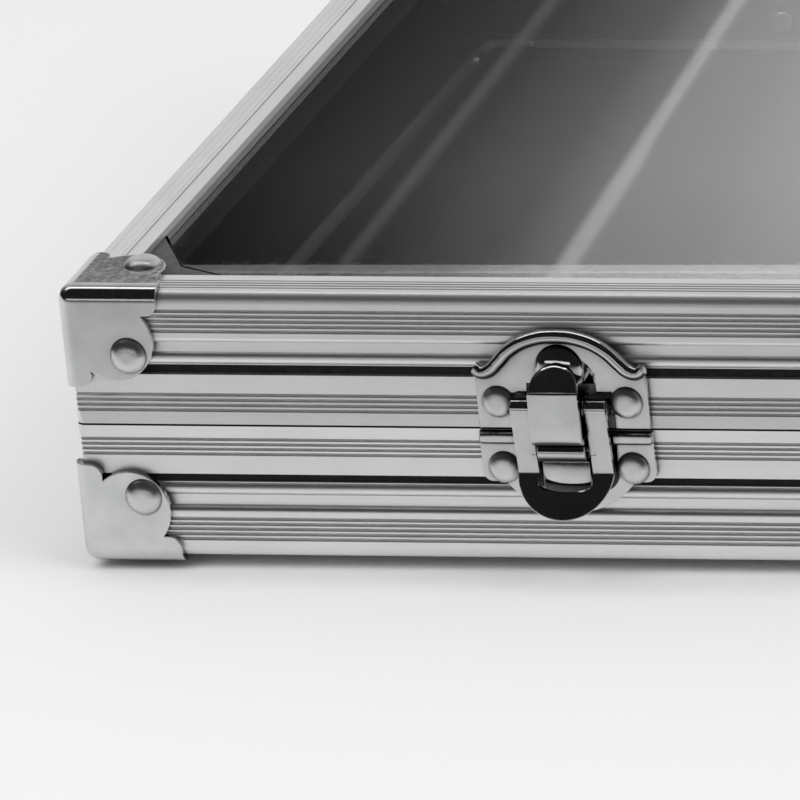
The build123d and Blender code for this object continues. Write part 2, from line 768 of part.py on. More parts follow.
for half, up in HALVES.items():
    with BuildPart() as cap_rivets:
        with Locations(*[place for side in SIDES for place in face_rivets(side, up)]):
            add(face_rivet)
        with Locations(*level_rivets(up)):
            add(level_rivet)
    save(cap_rivets.part, f"{half}_cap_rivets")
    with BuildPart() as latch_rivet_group:
        with Locations(*latch_rivets(up)):
            add(latch_rivet)
    save(latch_rivet_group.part, f"{half}_latch_rivets")
    with BuildPart() as hinge_rivet_group:
        with Locations(*hinge_rivets(up)):
            add(hinge_rivet)
    save(hinge_rivet_group.part, f"{half}_hinge_rivets")

# Latches
for hand, place in latch_places.items():
    save(keeper_plate(place), f"latch_keeper_{hand}")
    save(latch_plate(place), f"latch_plate_{hand}")
    save(lever(place), f"latch_lever_{hand}")
    save(latch_pin(place, (lever_pin_proud, lever_pin_rise), lever_pin_radius, lever_half_width),
         f"lever_pin_{hand}")
    save(hook(place), f"latch_hook_{hand}")
    save(latch_pin(place, (hook_pin_proud, -hook_pin_drop), hook_pin_radius,
                   lever_gap_half + cheek_thickness), f"hook_pin_{hand}")

# Hinges
for hand, place in hinge_places.items():
    save(hinge_leaf(place, -1), f"hinge_base_leaf_{hand}")
    save(hinge_leaf(place, 1), f"hinge_lid_leaf_{hand}")
    save(hinge_pin(place), f"hinge_pin_{hand}")
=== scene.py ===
"""Looks of the aluminium display case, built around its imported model. Metres, in the row's frame."""
import math

import bmesh
import bpy
from mathutils import Matrix, Vector


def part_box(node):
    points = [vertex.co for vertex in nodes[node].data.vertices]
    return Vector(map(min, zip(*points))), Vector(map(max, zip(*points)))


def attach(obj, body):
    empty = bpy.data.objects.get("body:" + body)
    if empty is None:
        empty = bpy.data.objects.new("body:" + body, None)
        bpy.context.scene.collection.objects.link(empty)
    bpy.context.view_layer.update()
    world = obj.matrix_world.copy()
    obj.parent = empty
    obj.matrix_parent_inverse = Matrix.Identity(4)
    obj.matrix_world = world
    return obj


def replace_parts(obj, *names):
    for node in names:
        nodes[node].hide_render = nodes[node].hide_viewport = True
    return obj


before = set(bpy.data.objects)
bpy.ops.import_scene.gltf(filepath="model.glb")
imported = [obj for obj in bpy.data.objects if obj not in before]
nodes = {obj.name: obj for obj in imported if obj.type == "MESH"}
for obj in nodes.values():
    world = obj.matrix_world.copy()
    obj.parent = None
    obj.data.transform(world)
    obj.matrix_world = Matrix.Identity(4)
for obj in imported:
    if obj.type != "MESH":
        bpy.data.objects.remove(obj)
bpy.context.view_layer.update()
scene = bpy.context.scene

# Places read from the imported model
BASE_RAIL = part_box("base_edge_rail_front")
LID_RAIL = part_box("lid_edge_rail_front")
FRONT_Y = LID_RAIL[0].y
LEFT_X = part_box("lid_edge_rail_left")[0].x
BACK_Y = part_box("lid_edge_rail_back")[1].y
SEAM_Z = (BASE_RAIL[0].z + LID_RAIL[1].z) / 2
MIDDLE_Y = (FRONT_Y + BACK_Y) / 2
HALF_DEPTH = (BACK_Y - FRONT_Y) / 2
GLASS_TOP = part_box("glass_pane")[1].z

# Camera, as the photograph was taken
AZIMUTH = math.radians(19.3)
ELEVATION = math.radians(19.14)
ROLL = math.radians(-6.05)
DISTANCE = 5.18
PIXELS_PER_RADIAN = 27700
PICTURE_WIDTH = 800
AIM = Vector((-0.1, FRONT_Y, SEAM_Z))
AIM_PIXEL = (454.9, 427.5)
SENSOR = 36.0
FAR_CLIP = 100


def add_camera():
    """Camera on the photograph's line of sight, moved so that the aim point falls on its pixel."""
    away = Vector((math.cos(ELEVATION) * math.sin(AZIMUTH), -math.cos(ELEVATION) * math.cos(AZIMUTH),
                   math.sin(ELEVATION)))
    level = Vector((0, 0, 1)).cross(away).normalized()
    rise = away.cross(level)
    right = level * math.cos(ROLL) + rise * math.sin(ROLL)
    up = rise * math.cos(ROLL) - level * math.sin(ROLL)
    metres_per_pixel = DISTANCE / PIXELS_PER_RADIAN
    middle = PICTURE_WIDTH / 2
    offset = right * (middle - AIM_PIXEL[0]) + up * (AIM_PIXEL[1] - middle)
    place = AIM + away * DISTANCE + offset * metres_per_pixel
    data = bpy.data.cameras.new("camera")
    data.sensor_width = SENSOR
    data.lens = PIXELS_PER_RADIAN / PICTURE_WIDTH * SENSOR
    data.clip_end = FAR_CLIP
    camera = bpy.data.objects.new("camera", data)
    scene.collection.objects.link(camera)
    turn = Matrix((right, up, away)).transposed()
    camera.matrix_world = Matrix.Translation(place) @ turn.to_4x4()
    scene.camera = camera


# Shader nodes

def grey(level):
    """An opaque grey."""
    return (level, level, level, 1)


def add_node(tree, kind, **settings):
    """A shader node, with its settings."""
    node = tree.nodes.new("ShaderNode" + kind)
    for name, setting in settings.items():
        setattr(node, name, setting)
    return node


def feed(tree, socket, value):
    """Link another node's output to a socket, or set the socket's own value."""
    if isinstance(value, bpy.types.NodeSocket):
        tree.links.new(value, socket)
    else:
        socket.default_value = value


def fill(tree, node, values):
    """Feed a node's sockets by name."""
    for name, value in values.items():
        feed(tree, node.inputs[name], value)


def arithmetic(tree, operation, *values):
    """One step of arithmetic on numbers and outputs."""
    step = add_node(tree, "Math", operation=operation)
    for socket, value in zip(step.inputs, values):
        feed(tree, socket, value)
    return step.outputs["Value"]


def ranged(tree, value, low, high, from_low=0.0, from_high=1.0, how="LINEAR"):
    """A value moved from one range onto another."""
    step = add_node(tree, "MapRange", interpolation_type=how)
    fill(tree, step, {"Value": value, "From Min": from_low, "From Max": from_high, "To Min": low,
                      "To Max": high})
    return step.outputs["Result"]


def mixed(tree, share, first, second, kind="RGBA"):
    """A colour, or a number, between two others."""
    step = add_node(tree, "Mix", data_type=kind)
    fill(tree, step, {"Factor": share, "A": first, "B": second})
    return step.outputs["Result"]


def ramped(tree, value, stops, how="LINEAR"):
    """Greys, or colours, at places along a value."""
    ramp = add_node(tree, "ValToRGB")
    ramp.color_ramp.interpolation = how
    elements = ramp.color_ramp.elements
    while len(elements) < len(stops):
        elements.new(0.5)
    for element, (place, shade) in zip(elements, stops):
        element.position = place
        element.color = (*shade, 1) if isinstance(shade, tuple) else grey(shade)
    feed(tree, ramp.inputs["Fac"], value)
    return ramp.outputs["Color"]


def axes(tree, kind):
    """X, Y and Z of a piece's own coordinates, of the way that it faces or of a direction in the room."""
    place = add_node(tree, "TexCoord")
    split = add_node(tree, "SeparateXYZ")
    feed(tree, split.inputs["Vector"], place.outputs[kind])
    return split.outputs


def show(tree, share, first, second):
    """Show the first shader, or the second by its share."""
    mix = add_node(tree, "MixShader")
    for socket, value in zip(mix.inputs, (share, first, second)):
        feed(tree, socket, value)
    feed(tree, tree.nodes["Material Output"].inputs["Surface"], mix.outputs["Shader"])


def new_material(name):
    """A node material, with its tree and its shader."""
    material = bpy.data.materials.new(name)
    material.use_nodes = True
    return material, material.node_tree, material.node_tree.nodes["Principled BSDF"]


# Materials

# The part of a noise's range that a finish uses, and how rough the noise is
NOISE_LOW, NOISE_HIGH = 0.3, 0.7
NOISE_ROUGHNESS = 0.55

# How die lines are drawn out along each side's rails
DRAWN = 0.004
ALONG = {"front": (DRAWN, 1, 1), "back": (DRAWN, 1, 1), "left": (1, DRAWN, 1), "right": (1, DRAWN, 1)}

# Rails' dark inside: its grey, darker on the left and right rails as painted shade, and on the closing rails
# also the grey of the painted shade along the joint; how far in from the outer face it starts, and how rough
# it is
INSIDE_GREY_AND_SIDE_SHADE = {"front": 0.05, "back": 0.05, "left": 0.01, "right": 0.01}
CLOSING_INSIDE_AND_JOINT_SHADE = 0.01
EDGE_WALL, CLOSING_WALL = 0.0096, 0.0049
LINING_ROUGHNESS = 0.85

# Painted shade along the joint between the halves, where the gap's shadow falls: how far up and down it
# reaches, and how far its faces may slant
JOINT_SHADE = 0.0002
SLANT = 0.7

# Rails' roughness between their die lines and along them
SATIN = (0.38, 0.48)

# Plating gets painted shade where its normal points further down than the first of these, none above the
# second
UNDERSIDE_SHADE_SLANT = (-0.4, -0.1)

# The part of a noise that counts as wear on plating, and as dust on glass, and how much rougher each gets
WEAR, WORN_ROUGHER = (0.45, 0.8), 0.1
DUST, DUSTY_ROUGHNESS = (0.5, 0.8), 0.03


def noise(tree, scale, detail, stretch=(1, 1, 1)):
    """Noise on the piece's own coordinates, stretched along chosen axes."""
    place = add_node(tree, "TexCoord")
    mapping = add_node(tree, "Mapping")
    fill(tree, mapping, {"Vector": place.outputs["Object"], "Scale": stretch})
    texture = add_node(tree, "TexNoise")
    fill(tree, texture, {"Vector": mapping.outputs["Vector"], "Scale": scale, "Detail": detail,
                         "Roughness": NOISE_ROUGHNESS})
    return texture.outputs["Fac"]


def shaded(tree, grain, dark, light):
    """A colour that runs between two shades with a noise."""
    return ramped(tree, grain, ((NOISE_LOW, dark), (NOISE_HIGH, light)))


def add_bump(tree, shader, height, strength, distance):
    """Surface relief from a noise."""
    relief = add_node(tree, "Bump")
    fill(tree, relief, {"Strength": strength, "Distance": distance, "Height": height})
    feed(tree, shader.inputs["Normal"], relief.outputs["Normal"])
    return relief


def painted_crevice_shade(tree, unshaded_colour, distance, closed, clear, darkest=0.12):
    """A finish's colour with painted shade: darkened where ambient occlusion finds a crevice nearly closed,
    unchanged on open faces.
    """
    crevice = add_node(tree, "AmbientOcclusion", samples=6)
    fill(tree, crevice, {"Distance": distance})
    openness = ranged(tree, crevice.outputs["AO"], darkest, 1, closed, clear)
    return mixed(tree, openness, grey(0), unshaded_colour)


def inside_and_joint_shade_mask(tree, wall):
    """1 behind a rail's outer wall and, as painted shade, along the joint between the halves; 0 on the other
    outer faces.
    """
    place = axes(tree, "Object")
    across = arithmetic(tree, "ABSOLUTE", place["X"])
    within_length = arithmetic(tree, "COMPARE", across, 0, -LEFT_X - wall)
    within_depth = arithmetic(tree, "COMPARE", place["Y"], MIDDLE_Y, HALF_DEPTH - wall)
    inside = arithmetic(tree, "MULTIPLY", within_length, within_depth)
    upright = arithmetic(tree, "COMPARE", axes(tree, "Normal")["Z"], 0, SLANT)
    # Painted shade: a thin band of upright faces along the joint.
    near_joint = arithmetic(tree, "COMPARE", place["Z"], SEAM_Z, JOINT_SHADE)
    joint_shade = arithmetic(tree, "MULTIPLY", upright, near_joint)
    return arithmetic(tree, "MAXIMUM", inside, joint_shade)


def satin_aluminium(name, along, inside_and_shade_grey, wall):
    """Anodised extrusion: satin, with die lines along its length, painted shade in its crevices and along the
    joint, and a dark inside.
    """
    material, tree, shader = new_material(name)
    lines = noise(tree, scale=1500, detail=3, stretch=along)
    patches = noise(tree, scale=45, detail=3)
    inside = inside_and_joint_shade_mask(tree, wall)
    satin = ranged(tree, lines, *SATIN, NOISE_LOW, NOISE_HIGH)
    unshaded_colour = shaded(tree, patches, (0.78, 0.785, 0.79), (0.84, 0.845, 0.85))
    # Painted shade: the colour darkens to 65% in tight crevices such as the grooves.
    shaded_in_crevices = painted_crevice_shade(tree, unshaded_colour, distance=0.0006, closed=0.2, clear=0.6, darkest=0.65)
    fill(tree, shader, {"Base Color": mixed(tree, inside, shaded_in_crevices, grey(inside_and_shade_grey)),
                        "Metallic": ranged(tree, inside, 1, 0),
                        "Roughness": mixed(tree, inside, satin, LINING_ROUGHNESS, "FLOAT"),
                        "Specular IOR Level": 0.1})
    add_bump(tree, shader, lines, strength=0.12, distance=0.00004)
    return material


def chrome(name, roughness, soft_edge=0.0003, closed=0.3, clear=0.92, pressing=0.12, underside_shade=1.0):
    """Plated steel: mirror bright, with softened edges, press waves, fine wear, painted shade in its crevices
    and painted shade on its undersides.
    """
    material, tree, shader = new_material(name)
    wear = noise(tree, scale=900, detail=6)
    patches = noise(tree, scale=160, detail=5)
    waves = noise(tree, scale=160, detail=3)
    unshaded_colour = shaded(tree, patches, (0.56, 0.565, 0.57), (0.66, 0.665, 0.67))
    # Painted shade: the plating darkens in nearly closed crevices.
    shaded_in_crevices = painted_crevice_shade(tree, unshaded_colour, distance=0.0022, closed=closed, clear=clear)
    # Painted shade: faces that turn downward are darkened towards black.
    unshaded_share = ranged(tree, axes(tree, "Normal")["Z"], underside_shade, 1, *UNDERSIDE_SHADE_SLANT)
    fill(tree, shader, {"Base Color": mixed(tree, unshaded_share, grey(0), shaded_in_crevices),
                        "Metallic": 1.0,
                        "Roughness": ranged(tree, wear, roughness, roughness + WORN_ROUGHER, *WEAR)})
    relief = add_bump(tree, shader, waves, strength=pressing, distance=0.0003)
    soften = add_node(tree, "Bevel", samples=4)
    fill(tree, soften, {"Radius": soft_edge})
    feed(tree, relief.inputs["Normal"], soften.outputs["Normal"])
    return material


def clear_glass(name):
    """Float glass, with a little dust, that lets light in to what lies under it."""
    material, tree, shader = new_material(name)
    dust = noise(tree, scale=500, detail=6)
    fill(tree, shader, {"Base Color": (0.93, 0.96, 0.95, 1),
                        "Transmission Weight": 1.0,
                        "IOR": 1.5,
                        "Roughness": ranged(tree, dust, 0.0, DUSTY_ROUGHNESS, *DUST)})
    rays = add_node(tree, "LightPath").outputs
    light = arithmetic(tree, "MAXIMUM", rays["Is Shadow Ray"], rays["Is Diffuse Ray"])
    through = add_node(tree, "BsdfTransparent")
    fill(tree, through, {"Color": (0.85, 0.88, 0.87, 1)})
    show(tree, light, shader.outputs["BSDF"], through.outputs["BSDF"])
    return material


def matt(name, dark, light, roughness, scale):
    """A plain matt finish with a fine grain."""
    material, tree, shader = new_material(name)
    grain = noise(tree, scale, detail=5)
    fill(tree, shader, {"Base Color": shaded(tree, grain, dark, light),
                        "Roughness": roughness,
                        "Specular IOR Level": 0.5 * (1 - roughness)})
    add_bump(tree, shader, grain, strength=0.3, distance=0.0001)
    return material


rail_finish = {}
# Each side's dark inside grey; the left and right rails' darker grey is painted shade, and the closing rails'
# grey also paints the shade along the joint.
for side in ALONG:
    rail_finish["edge_rail", side] = satin_aluminium(f"satin_edge_{side}", ALONG[side], INSIDE_GREY_AND_SIDE_SHADE[side],
                                                     EDGE_WALL)
for side in ALONG:
    rail_finish["closing_rail", side] = satin_aluminium(f"satin_closing_{side}", ALONG[side], CLOSING_INSIDE_AND_JOINT_SHADE,
                                                        CLOSING_WALL)
strip_black = matt("strip_black", (0.012, 0.012, 0.012), (0.022, 0.022, 0.022), roughness=0.8, scale=900)
cap_chrome = chrome("cap_chrome", roughness=0.05, soft_edge=0.00045, pressing=0.04)
latch_chrome = chrome("latch_chrome", roughness=0.03, underside_shade=0.12)
lip_chrome = chrome("lip_chrome", roughness=0.03, closed=0.55, clear=0.97, underside_shade=0.06)
rivet_steel = chrome("rivet_steel", roughness=0.28, soft_edge=0.0009, pressing=0.03)
glass = clear_glass("glass")
block_grey = matt("block_grey", (0.07, 0.07, 0.072), (0.1, 0.1, 0.103), roughness=0.7, scale=800)
velvet = matt("velvet", (0.003, 0.003, 0.0035), (0.008, 0.008, 0.009), roughness=0.95, scale=3000)
panel_black = matt("panel_black", (0.02, 0.02, 0.021), (0.03, 0.03, 0.031), roughness=0.6, scale=900)
tape_black = matt("tape_black", (0.02, 0.02, 0.02), (0.035, 0.035, 0.035), roughness=0.7, scale=900)

# Finishes by a word in the node's name, of which the first that fits is used
NAMED_FINISHES = (("wall_strips", strip_black), ("blocks", block_grey), ("rivets", rivet_steel),
                  ("pin", rivet_steel), ("_cap_", cap_chrome), ("glass_pane", glass),
                  ("display_pad", velvet), ("floor_panel", panel_black), ("glazing_seal", tape_black),
                  ("latch", latch_chrome), ("hinge", latch_chrome))


def finish_of(name):
    """The finish of a CAD node."""
    for (kind, side), finish in rail_finish.items():
        if f"{kind}_{side}" in name:
            return finish
    return next(finish for word, finish in NAMED_FINISHES if word in name)


for name in nodes:
    mesh = nodes[name].data
    mesh.materials.clear()
    mesh.materials.append(finish_of(name))

# Latches, in millimetres across the latch, out of the wall and up from the seam

MM = 0.001
SHEET = 1.0

# A rod's edge goes round its end if it runs less than this across the latch
ROUND_END = 0.01

# Edges are sharp above these angles, in degrees: on most pieces, and on the rounder ones
SHARP_EDGE = 40
NOSE_SHARP_EDGE, EYE_SHARP_EDGE, HOOK_SHARP_EDGE, PAD_SHARP_EDGE = 60, 30, 27, 180

# How wide the edges of the plate and of the hook are rounded
PLATE_EDGE, HOOK_EDGE = 0.2, 0.3

# Keeper: half its width, where it starts and its shoulders, then the arch and the notch with its inner step
KEEPER_HALF, KEEPER_FOOT, KEEPER_SHOULDER = 16.8, 0.3, 12.0
ARCH_HALF, ARCH_FOOT, ARCH_TOP = 12.6, 12.2, 18.8
ARCH_STEPS = 16
NOTCH_HALF, NOTCH_TOP = 9.8, 7.3
INNER_HALF, INNER_TOP = 6.6, 9.2

# Lip: across, up and its share of the full radius, from its right end to the arch's top
LIP_LINE = ((16.6, 12.5, 0.8), (15.2, 11.6, 0.95), (13.6, 12.0, 1), (11.9, 13.5, 1), (9.4, 15.9, 1),
            (5.4, 18.0, 1), (0, 18.8, 1))
LIP_OUT, LIP_RADIUS = 1.35, 1.45

# Nose: a dome cut off flat behind, and the block that carries it
NOSE_MIDDLE, NOSE_REACH, NOSE_BACK = (0, 0.8, 11.9), (4.9, 2.3, 5.2), 0.9
SEAT_MIDDLE, SEAT_SIZE, SEAT_EDGE = (0, 3.2, 10.3), (9.2, 4.6, 2.0), 0.6

# Hook, from its top round to its underside: out, up, the way it faces in degrees, half width and crown
HOOK_LINE = ((3.5, 14.2, 92, 1.2, 0.3), (4.0, 14.1, 80, 2.2, 0.5), (4.6, 13.75, 62, 3.1, 0.8),
             (5.1, 13.15, 48, 3.75, 1.0), (5.65, 12.3, 39, 4.3, 1.0), (6.35, 10.9, 33, 4.7, 0.8),
             (6.97, 9.45, 30, 4.87, 0.3), (7.1, 9.2, 0, 4.9, 0.12), (7.1, 7.0, 0, 4.9, 0.12),
             (7.1, 3.0, 0, 4.9, 0.12), (7.1, 0.2, 0, 4.9, 0.12), (7.03, -0.25, -18, 4.9, 0.1),
             (6.85, -0.6, -36, 4.9, 0), (6.5, -0.95, -55, 4.9, 0), (6.0, -1.15, -75, 4.9, 0),
             (5.4, -1.25, -90, 4.9, 0), (3.2, -1.25, -90, 4.9, 0))
HOOK_CROWN_STEPS = 5

# Eye: where it lies, its radius, half its length and its softened ends
EYE_OUT, EYE_UP, EYE_RADIUS, EYE_HALF, EYE_EDGE = 3.35, -3.3, 2.05, 4.7, 0.6

# Face pressed out of the plate inside the lever's opening
BOSS_MIDDLE, BOSS_SIZE, BOSS_EDGE = (0, 1.7, -9.55), (9.4, 1.8, 8.1), 0.25


def add_piece(name, shape, body, material, sharp=SHARP_EDGE):
    """Turn a shape, drawn in metres in place, into a piece that rides on a body."""
    bmesh.ops.recalc_face_normals(shape, faces=shape.faces[:])
    mesh = bpy.data.meshes.new(name)
    shape.to_mesh(mesh)
    shape.free()
    mesh.materials.append(material)
    mesh.shade_smooth()
    mesh.set_sharp_from_angle(angle=math.radians(sharp))
    piece = bpy.data.objects.new(name, mesh)
    scene.collection.objects.link(piece)
    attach(piece, body)
    return piece


def latch_frame(middle_x):
    """From a latch's own millimetres to its place on the case."""
    return Matrix.Translation((middle_x, FRONT_Y, SEAM_Z)) @ Matrix.Diagonal((MM, -MM, MM, 1))


def sized(middle, size):
    """Place and stretch a shape drawn round the origin."""
    return Matrix.Translation(middle) @ Matrix.Diagonal((*size, 1))


def soften_edges(piece, width, segments=2):
    """Round the sharp edges of a pressed piece."""
    edge = piece.modifiers.new("edge", "BEVEL")
    edge.limit_method = "ANGLE"
    edge.angle_limit = math.radians(SHARP_EDGE)
    edge.width = width
    edge.segments = segments
    edge.harden_normals = False


def flat_sheet(shape, outline, thickness):
    """A flat pressing on the wall, from its outline as seen from the front."""
    face = shape.faces.new([shape.verts.new((x, 0, z)) for x, z in outline])
    grown = bmesh.ops.extrude_face_region(shape, geom=[face])
    moved = [item for item in grown["geom"] if isinstance(item, bmesh.types.BMVert)]
    bmesh.ops.translate(shape, verts=moved, vec=(0, thickness, 0))


def eased_block(shape, middle, size, edge, segments):
    """A block with rounded edges."""
    bmesh.ops.create_cube(shape, size=1, matrix=sized(middle, size))
    bmesh.ops.bevel(shape, geom=shape.edges[:], offset=edge, segments=segments, profile=0.5, affect="EDGES",
                    material=-1)


def strip_ring(shape, station, thickness):
    """One cross-section of a bent strip."""
    out, up, facing, half, crown = station
    lean = math.radians(facing)
    steps = [step / HOOK_CROWN_STEPS for step in range(-HOOK_CROWN_STEPS, HOOK_CROWN_STEPS + 1)]
    corners = []
    for depth, sides in ((0, steps), (thickness, steps[::-1])):
        for side in sides:
            back = depth + crown * side ** 2
            place = (half * side, out - back * math.cos(lean), up - back * math.sin(lean))
            corners.append(shape.verts.new(place))
    count = len(corners)
    return [shape.edges.new((corners[index], corners[(index + 1) % count])) for index in range(count)]


def bent_strip(shape, stations, thickness):
    """A strip of sheet bent along its length."""
    rings = [strip_ring(shape, station, thickness) for station in stations]
    for near, far in zip(rings, rings[1:]):
        bmesh.ops.bridge_loops(shape, edges=near + far)
    for ring in (rings[0], rings[-1]):
        bmesh.ops.contextual_create(shape, geom=ring)


def rod(shape, out, up, radius, half, edge):
    """A round bar across the latch, with softened ends."""
    turn = Matrix.Translation((0, out, up)) @ Matrix.Rotation(math.radians(90), 4, "Y")
    made = bmesh.ops.create_cone(shape, cap_ends=True, segments=40, radius1=radius, radius2=radius,
                                 depth=2 * half, matrix=turn)
    lines = {line for vert in made["verts"] for line in vert.link_edges}
    ends = [line for line in lines if abs(line.verts[0].co.x - line.verts[1].co.x) < ROUND_END]
    bmesh.ops.bevel(shape, geom=ends, offset=edge, segments=3, profile=0.5, affect="EDGES", material=-1)


def keeper_outline():
    """The keeper plate's outline, seen from the front: arch, shoulders and stepped notch."""
    rise = ARCH_TOP - ARCH_FOOT
    radius = (ARCH_HALF ** 2 + rise ** 2) / (2 * rise)
    start = math.asin(ARCH_HALF / radius)
    turns = [start * step / ARCH_STEPS for step in range(ARCH_STEPS, -ARCH_STEPS - 1, -1)]
    outline = [(NOTCH_HALF, KEEPER_FOOT), (KEEPER_HALF, KEEPER_FOOT), (KEEPER_HALF, KEEPER_SHOULDER)]
    outline += [(radius * math.sin(turn), ARCH_TOP - radius * (1 - math.cos(turn))) for turn in turns]
    outline += [(-KEEPER_HALF, KEEPER_SHOULDER), (-KEEPER_HALF, KEEPER_FOOT), (-NOTCH_HALF, KEEPER_FOOT)]
    outline += [(-NOTCH_HALF, NOTCH_TOP), (-INNER_HALF, NOTCH_TOP), (-INNER_HALF, INNER_TOP)]
    outline += [(INNER_HALF, INNER_TOP), (INNER_HALF, NOTCH_TOP), (NOTCH_HALF, NOTCH_TOP)]
    return outline


def add_keeper_plate(hand, place):
    """The lid's plate, flat on the wall."""
    shape = bmesh.new()
    flat_sheet(shape, keeper_outline(), SHEET)
    shape.transform(place)
    plate = add_piece(f"keeper_plate_{hand}", shape, "lid", latch_chrome)
    soften_edges(plate, PLATE_EDGE * MM)
    return plate


def add_keeper_lip(hand, place):
    """The rolled lip along the keeper's arch, with its two horns."""
    line = bpy.data.curves.new(f"keeper_lip_{hand}", "CURVE")
    line.dimensions = "3D"
    line.bevel_depth = LIP_RADIUS * MM
    line.bevel_resolution = 6
    line.use_fill_caps = True
    spline = line.splines.new("BEZIER")
    stops = [(x, z, size) for x, z, size in LIP_LINE] + [(-x, z, size) for x, z, size in LIP_LINE[-2::-1]]
    spline.bezier_points.add(len(stops) - 1)
    for point, (x, z, size) in zip(spline.bezier_points, stops):
        point.co = place @ Vector((x, LIP_OUT, z))
        point.handle_left_type = point.handle_right_type = "AUTO"
        point.radius = size
    lip = bpy.data.objects.new(f"keeper_lip_{hand}", line)
    scene.collection.objects.link(lip)
    line.materials.append(lip_chrome)
    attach(lip, "lid")
    return lip


def add_keeper_nose(hand, place):
    """The domed nose that the hook holds."""
    shape = bmesh.new()
    swell = sized(NOSE_MIDDLE, NOSE_REACH)
    bmesh.ops.create_uvsphere(shape, u_segments=40, v_segments=24, radius=1, matrix=swell)
    cut = bmesh.ops.bisect_plane(shape, geom=shape.verts[:] + shape.edges[:] + shape.faces[:],
                                 plane_co=(0, NOSE_BACK, 0), plane_no=(0, -1, 0), clear_outer=True)
    rim = [item for item in cut["geom_cut"] if isinstance(item, bmesh.types.BMEdge)]
    bmesh.ops.edgeloop_fill(shape, edges=rim)
    shape.transform(place)
    return add_piece(f"keeper_nose_{hand}", shape, "lid", latch_chrome,
                     sharp=NOSE_SHARP_EDGE)


def add_keeper_seat(hand, place):
    """The block under the nose."""
    shape = bmesh.new()
    eased_block(shape, SEAT_MIDDLE, SEAT_SIZE, SEAT_EDGE, segments=3)
    shape.transform(place)
    return add_piece(f"keeper_seat_{hand}", shape, "lid", latch_chrome)


def add_hook_strip(hand, place):
    """The hook's bent strip, with its rounded top."""
    shape = bmesh.new()
    bent_strip(shape, HOOK_LINE, SHEET)
    shape.transform(place)
    strip = add_piece(f"hook_strip_{hand}", shape, f"hook_{hand}", latch_chrome,
                      sharp=HOOK_SHARP_EDGE)
    soften_edges(strip, HOOK_EDGE * MM, segments=3)
    return strip


def add_hook_eye(hand, place):
    """The rolled eye that turns on the hook's pin."""
    shape = bmesh.new()
    rod(shape, EYE_OUT, EYE_UP, EYE_RADIUS, EYE_HALF, EYE_EDGE)
    shape.transform(place)
    return add_piece(f"hook_eye_{hand}", shape, f"hook_{hand}", lip_chrome,
                     sharp=EYE_SHARP_EDGE)


def add_boss(hand, place):
    """The flat pressed-out face that shows inside the lever's opening."""
    shape = bmesh.new()
    eased_block(shape, BOSS_MIDDLE, BOSS_SIZE, BOSS_EDGE, segments=2)
    shape.transform(place)
    add_piece(f"plate_boss_{hand}", shape, "base", latch_chrome)


def add_latch(hand):
    """A latch's pressed and bent pieces, in place of the CAD's plain ones."""
    low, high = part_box(f"latch_plate_{hand}")
    place = latch_frame((low.x + high.x) / 2)
    for add in (add_keeper_plate, add_keeper_lip, add_keeper_nose, add_keeper_seat):
        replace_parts(add(hand, place), f"latch_keeper_{hand}")
    for add in (add_hook_strip, add_hook_eye):
        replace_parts(add(hand, place), f"latch_hook_{hand}")
    add_boss(hand, place)


# Pad: how finely it is divided, how far its sides pull in, the shares of half its height that its edges
# fall and its middle rises, and the share of it above which a point is on its top
PAD_CUTS = 39
PAD_PINCH = 0.0008
PAD_EDGE_FALL, PAD_RISE = 0.25, 0.1
PAD_TOP = 0.99


def add_pad():
    """The velvet pad: crowned, with soft edges, and sides that pull in between its corners."""
    low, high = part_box("display_pad")
    middle, size = (low + high) / 2, high - low
    shape = bmesh.new()
    bmesh.ops.create_cube(shape, size=2)
    bmesh.ops.subdivide_edges(shape, edges=shape.edges[:], cuts=PAD_CUTS, use_grid_fill=True)
    for vert in shape.verts:
        across, along, up = vert.co
        crown = (1 - across ** 6) * (1 - along ** 6)
        pinch_x = PAD_PINCH * (1 - along ** 4) * across * (1 - abs(up) * 0.5)
        pinch_y = PAD_PINCH * (1 - across ** 4) * along * (1 - abs(up) * 0.5)
        if up > PAD_TOP:
            up = 1 - PAD_EDGE_FALL * (1 - crown) + PAD_RISE * (1 - across ** 2) * (1 - along ** 2)
        vert.co = (middle.x + across * size.x / 2 - pinch_x, middle.y + along * size.y / 2 - pinch_y,
                   middle.z + up * size.z / 2)
    pad = add_piece("velvet_pad", shape, "base", velvet, sharp=PAD_SHARP_EDGE)
    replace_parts(pad, "display_pad")


for hand in ("left", "right"):
    add_latch(hand)
add_pad()

# Studio: the floor, and how dark it turns in shiny metal, from far in front of the case up to the case
FLOOR_SIZE = 60.0
FLOOR_COLOUR = (0.83, 0.83, 0.83, 1)
FLOOR_FALL = ((0.0, 0.95), (0.3, 0.9), (0.6, 0.6), (0.82, 0.3), (0.95, 0.05), (1.0, 0.0))
FLOOR_FALL_FROM, FLOOR_FALL_TO = -0.75, -0.125
ROOM_DARK = 0.014

# The room that shiny metal mirrors, from level with the case to overhead
ROOM_HEIGHT = ((0.0, 0.8), (0.55, 0.72), (0.78, 0.6), (0.92, 0.15), (1.0, 0.03))

# Where that room turns bright, going back and going right, and the greys that the camera and matt
# surfaces get from it
BRIGHT_BEHIND, BRIGHT_RIGHT = (-0.25, 0.25), (-0.95, -0.45)
ROOM_SEEN, ROOM_LIGHT = 0.8, 0.55

# Card that the glass mirrors: its height over the glass, then its columns in the picture and how far each
# leans per row, its rows between the picture's near and far row, and where its chart starts and how wide
# it is
CARD_HEIGHT = 0.6
CARD_COLUMNS = ((-100, 92), (40, 92), (140, 92), (330, 90), (445, 86), (545, 75), (660, 57), (830, 40))
CARD_ROWS = (-0.5, 0, 1, 2.7)
NEAR_ROW, FAR_ROW = 285, 171
CHART_LEFT, CHART_WIDTH = 40, 790

